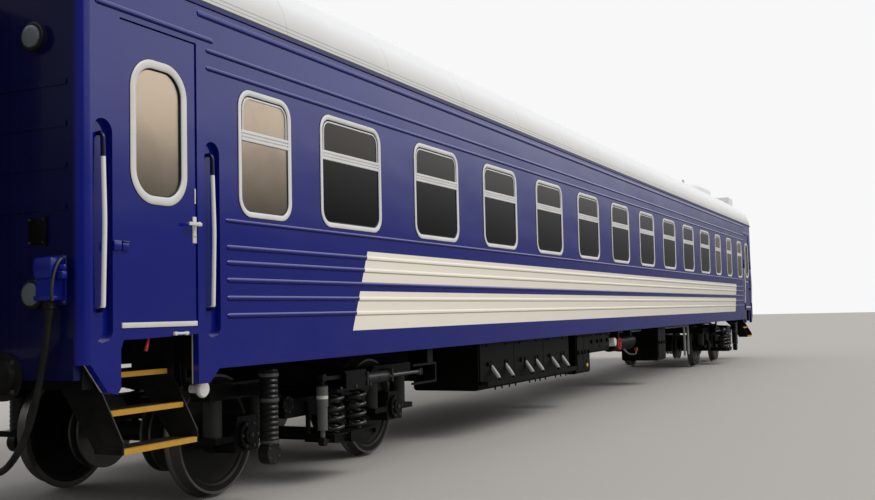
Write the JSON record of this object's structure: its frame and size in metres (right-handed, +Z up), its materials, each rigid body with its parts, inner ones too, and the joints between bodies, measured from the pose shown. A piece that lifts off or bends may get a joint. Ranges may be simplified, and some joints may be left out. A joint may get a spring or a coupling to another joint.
{
  "type": "sleeping passenger coach",
  "caption": "Long-distance rail coach with compartments, end vestibules with hinged doors and folding step plates, gangways, automatic couplers and two swivelling two-axle bogies.",
  "frame": {"origin": "middle of the coach, at the lowest point of the wheel flanges", "axes": "+X along the coach towards its rear end, +Y towards its right side, +Z up"},
  "size_m": [26.786, 3.0792, 4.518],
  "materials": {
    "body_blue": "gloss",
    "door_blue": "gloss",
    "gangway_door_paint": "satin",
    "roof_paint": "satin",
    "underframe_paint": "matt",
    "floor_sheet": "matt",
    "trap_steel": "chequered",
    "window_frame_white": "satin",
    "glass": "polished",
    "step_black": "matt",
    "handrail_white": "gloss",
    "coupler_steel": "rough",
    "buffer_black": "matt",
    "gangway_rubber": "matt",
    "footplate_steel": "matt",
    "lamp_lens": "gloss",
    "socket_blue": "gloss",
    "cable_rubber": "matt",
    "box_grey": "satin",
    "tank_black": "satin",
    "interior_panel": "satin",
    "berth_cover": "satin",
    "bogie_paint": "satin",
    "spring_steel": "satin",
    "damper_paint": "satin",
    "wheel_steel": "turned"
  },
  "bodies": {
    "coach_body": {"side_wall_left": "body_blue", "side_wall_right": "body_blue", "entrance_panels": "body_blue", "end_wall_front": "body_blue", "end_wall_rear": "body_blue", "roof": "roof_paint", "underframe": "underframe_paint", "yaw_brackets": "underframe_paint", "floor": "floor_sheet", "vestibule_floors": "floor_sheet", "window_frames": "window_frame_white", "window_glass": "glass", "entrance_steps": "step_black", "door_handrails": "handrail_white", "buffers": "buffer_black", "gangways": "gangway_rubber", "gangway_footplates": "footplate_steel", "end_lamps": "lamp_lens", "jumper_sockets": "socket_blue", "jumper_cable": "cable_rubber", "battery_box": "box_grey", "equipment_boxes": "box_grey", "air_tanks": "tank_black", "roof_units": "roof_paint", "interior_panels": "interior_panel", "berths": "berth_cover"},
    "door_front_left": {"door_front_left": "door_blue", "door_glass_front_left": "glass"},
    "trap_front_left": {"trap_plate_front_left": "trap_steel"},
    "door_front_right": {"door_front_right": "door_blue", "door_glass_front_right": "glass"},
    "trap_front_right": {"trap_plate_front_right": "trap_steel"},
    "door_rear_left": {"door_rear_left": "door_blue", "door_glass_rear_left": "glass"},
    "trap_rear_left": {"trap_plate_rear_left": "trap_steel"},
    "door_rear_right": {"door_rear_right": "door_blue", "door_glass_rear_right": "glass"},
    "trap_rear_right": {"trap_plate_rear_right": "trap_steel"},
    "gangway_door_front": {"gangway_door_front": "gangway_door_paint"},
    "coupler_front": {"coupler_front": "coupler_steel"},
    "bogie_front": {"bogie_frame_front": "bogie_paint", "bogie_bolster_front": "bogie_paint", "bogie_springs_front": "spring_steel", "axle_boxes_front": "bogie_paint", "bogie_dampers_front": "damper_paint", "brake_units_front": "bogie_paint"},
    "gangway_door_rear": {"gangway_door_rear": "gangway_door_paint"},
    "coupler_rear": {"coupler_rear": "coupler_steel"},
    "bogie_rear": {"bogie_frame_rear": "bogie_paint", "bogie_bolster_rear": "bogie_paint", "bogie_springs_rear": "spring_steel", "axle_boxes_rear": "bogie_paint", "bogie_dampers_rear": "damper_paint", "brake_units_rear": "bogie_paint"},
    "wheelset_1": {"wheelset_1": "wheel_steel"},
    "wheelset_2": {"wheelset_2": "wheel_steel"},
    "wheelset_3": {"wheelset_3": "wheel_steel"},
    "wheelset_4": {"wheelset_4": "wheel_steel"}
  },
  "joints": [
    {"name": "door_front_left_hinge", "type": "hinge", "parent": "coach_body", "child": "door_front_left", "pos_m": [-12.411, -1.434, 2.35], "axis": [0, 0, 1], "range_deg": [0, 90]},
    {"name": "trap_front_left_hinge", "type": "hinge", "parent": "coach_body", "child": "trap_front_left", "pos_m": [-11.669, -1.175, 1.378], "axis": [0, 1, 0], "range_deg": [0, 90]},
    {"name": "door_front_right_hinge", "type": "hinge", "parent": "coach_body", "child": "door_front_right", "pos_m": [-12.411, 1.434, 2.35], "axis": [0, 0, -1], "range_deg": [0, 90]},
    {"name": "trap_front_right_hinge", "type": "hinge", "parent": "coach_body", "child": "trap_front_right", "pos_m": [-11.669, 1.175, 1.378], "axis": [0, 1, 0], "range_deg": [0, 90]},
    {"name": "door_rear_left_hinge", "type": "hinge", "parent": "coach_body", "child": "door_rear_left", "pos_m": [12.411, -1.434, 2.35], "axis": [0, 0, -1], "range_deg": [0, 90]},
    {"name": "trap_rear_left_hinge", "type": "hinge", "parent": "coach_body", "child": "trap_rear_left", "pos_m": [11.669, -1.175, 1.378], "axis": [0, -1, 0], "range_deg": [0, 90]},
    {"name": "door_rear_right_hinge", "type": "hinge", "parent": "coach_body", "child": "door_rear_right", "pos_m": [12.411, 1.434, 2.35], "axis": [0, 0, 1], "range_deg": [0, 90]},
    {"name": "trap_rear_right_hinge", "type": "hinge", "parent": "coach_body", "child": "trap_rear_right", "pos_m": [11.669, 1.175, 1.378], "axis": [0, -1, 0], "range_deg": [0, 90]},
    {"name": "gangway_door_front_hinge", "type": "hinge", "parent": "coach_body", "child": "gangway_door_front", "pos_m": [-12.674, -0.341, 2.35], "axis": [0, 0, -1], "range_deg": [0, 90]},
    {"name": "coupler_front_swing", "type": "hinge", "parent": "coach_body", "child": "coupler_front", "pos_m": [-12.19, 0, 1.088], "axis": [0, 0, 1], "range_deg": [-8, 8]},
    {"name": "bogie_front_swivel", "type": "hinge", "parent": "coach_body", "child": "bogie_front", "pos_m": [-9.35, 0, 1.013], "axis": [0, 0, 1], "range_deg": [-4, 4]},
    {"name": "gangway_door_rear_hinge", "type": "hinge", "parent": "coach_body", "child": "gangway_door_rear", "pos_m": [12.674, -0.341, 2.35], "axis": [0, 0, 1], "range_deg": [0, 90]},
    {"name": "coupler_rear_swing", "type": "hinge", "parent": "coach_body", "child": "coupler_rear", "pos_m": [12.19, 0, 1.088], "axis": [0, 0, 1], "range_deg": [-8, 8]},
    {"name": "bogie_rear_swivel", "type": "hinge", "parent": "coach_body", "child": "bogie_rear", "pos_m": [9.35, 0, 1.013], "axis": [0, 0, 1], "range_deg": [-4, 4]},
    {"name": "wheelset_1_roll", "type": "hinge", "parent": "bogie_front", "child": "wheelset_1", "pos_m": [-10.6, 0, 0.5065], "axis": [0, 1, 0], "continuous": true},
    {"name": "wheelset_2_roll", "type": "hinge", "parent": "bogie_front", "child": "wheelset_2", "pos_m": [-8.1, 0, 0.5065], "axis": [0, 1, 0], "continuous": true},
    {"name": "wheelset_3_roll", "type": "hinge", "parent": "bogie_rear", "child": "wheelset_3", "pos_m": [8.1, 0, 0.5065], "axis": [0, 1, 0], "continuous": true},
    {"name": "wheelset_4_roll", "type": "hinge", "parent": "bogie_rear", "child": "wheelset_4", "pos_m": [10.6, 0, 0.5065], "axis": [0, 1, 0], "continuous": true}
  ]
}
